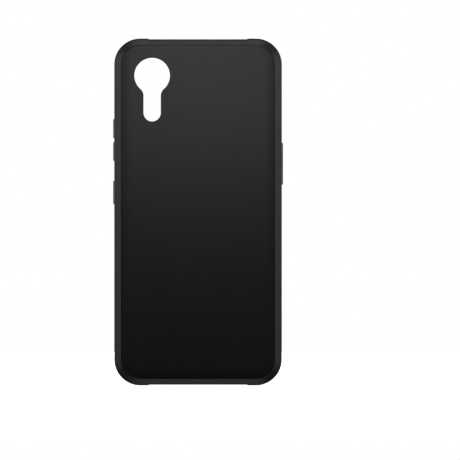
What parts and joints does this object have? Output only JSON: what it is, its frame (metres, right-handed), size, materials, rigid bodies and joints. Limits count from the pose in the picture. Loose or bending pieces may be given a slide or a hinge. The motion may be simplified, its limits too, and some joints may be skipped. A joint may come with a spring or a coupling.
{
  "type": "phone case",
  "caption": "Matt black protective case for a rugged phone: hard back panel with a keyhole camera cut-out, soft bumper frame with corner bumps, and sprung key covers.",
  "frame": {"origin": "under the middle of the case, level with the bottom corner bumps that it stands on, midway between the back face and the lip", "axes": "+X across the case towards the long key cover, +Y from the back panel to the screen lip, +Z along the case towards the camera end"},
  "size_m": [0.0848, 0.013, 0.1731],
  "materials": {
    "panel": "fine matt texture, hard moulded plastic",
    "bumper": "matt soft-touch elastomer",
    "key_cover": "matt soft-touch elastomer",
    "web": "matt soft-touch elastomer"
  },
  "bodies": {
    "case": {"back_panel": "panel", "bumper_frame": "bumper", "volume_up_web": "web", "volume_down_web": "web", "side_key_web": "web", "programmable_key_web": "web"},
    "volume_up_cover": {"volume_up_cover": "key_cover"},
    "volume_down_cover": {"volume_down_cover": "key_cover"},
    "side_key_cover": {"side_key_cover": "key_cover"},
    "programmable_key_cover": {"programmable_key_cover": "key_cover"}
  },
  "joints": [
    {"name": "volume_up_press", "type": "slide", "parent": "case", "child": "volume_up_cover", "axis": [1, 0, 0], "range_m": [0, 0.0004], "stiffness_N_per_m": 1500, "deforming": ["volume_up_web"]},
    {"name": "volume_down_press", "type": "slide", "parent": "case", "child": "volume_down_cover", "axis": [1, 0, 0], "range_m": [0, 0.0004], "stiffness_N_per_m": 1500, "deforming": ["volume_down_web"]},
    {"name": "side_key_press", "type": "slide", "parent": "case", "child": "side_key_cover", "axis": [1, 0, 0], "range_m": [0, 0.0004], "stiffness_N_per_m": 1500, "deforming": ["side_key_web"]},
    {"name": "programmable_key_press", "type": "slide", "parent": "case", "child": "programmable_key_cover", "axis": [-1, 0, 0], "range_m": [0, 0.0004], "stiffness_N_per_m": 1500, "deforming": ["programmable_key_web"]}
  ]
}
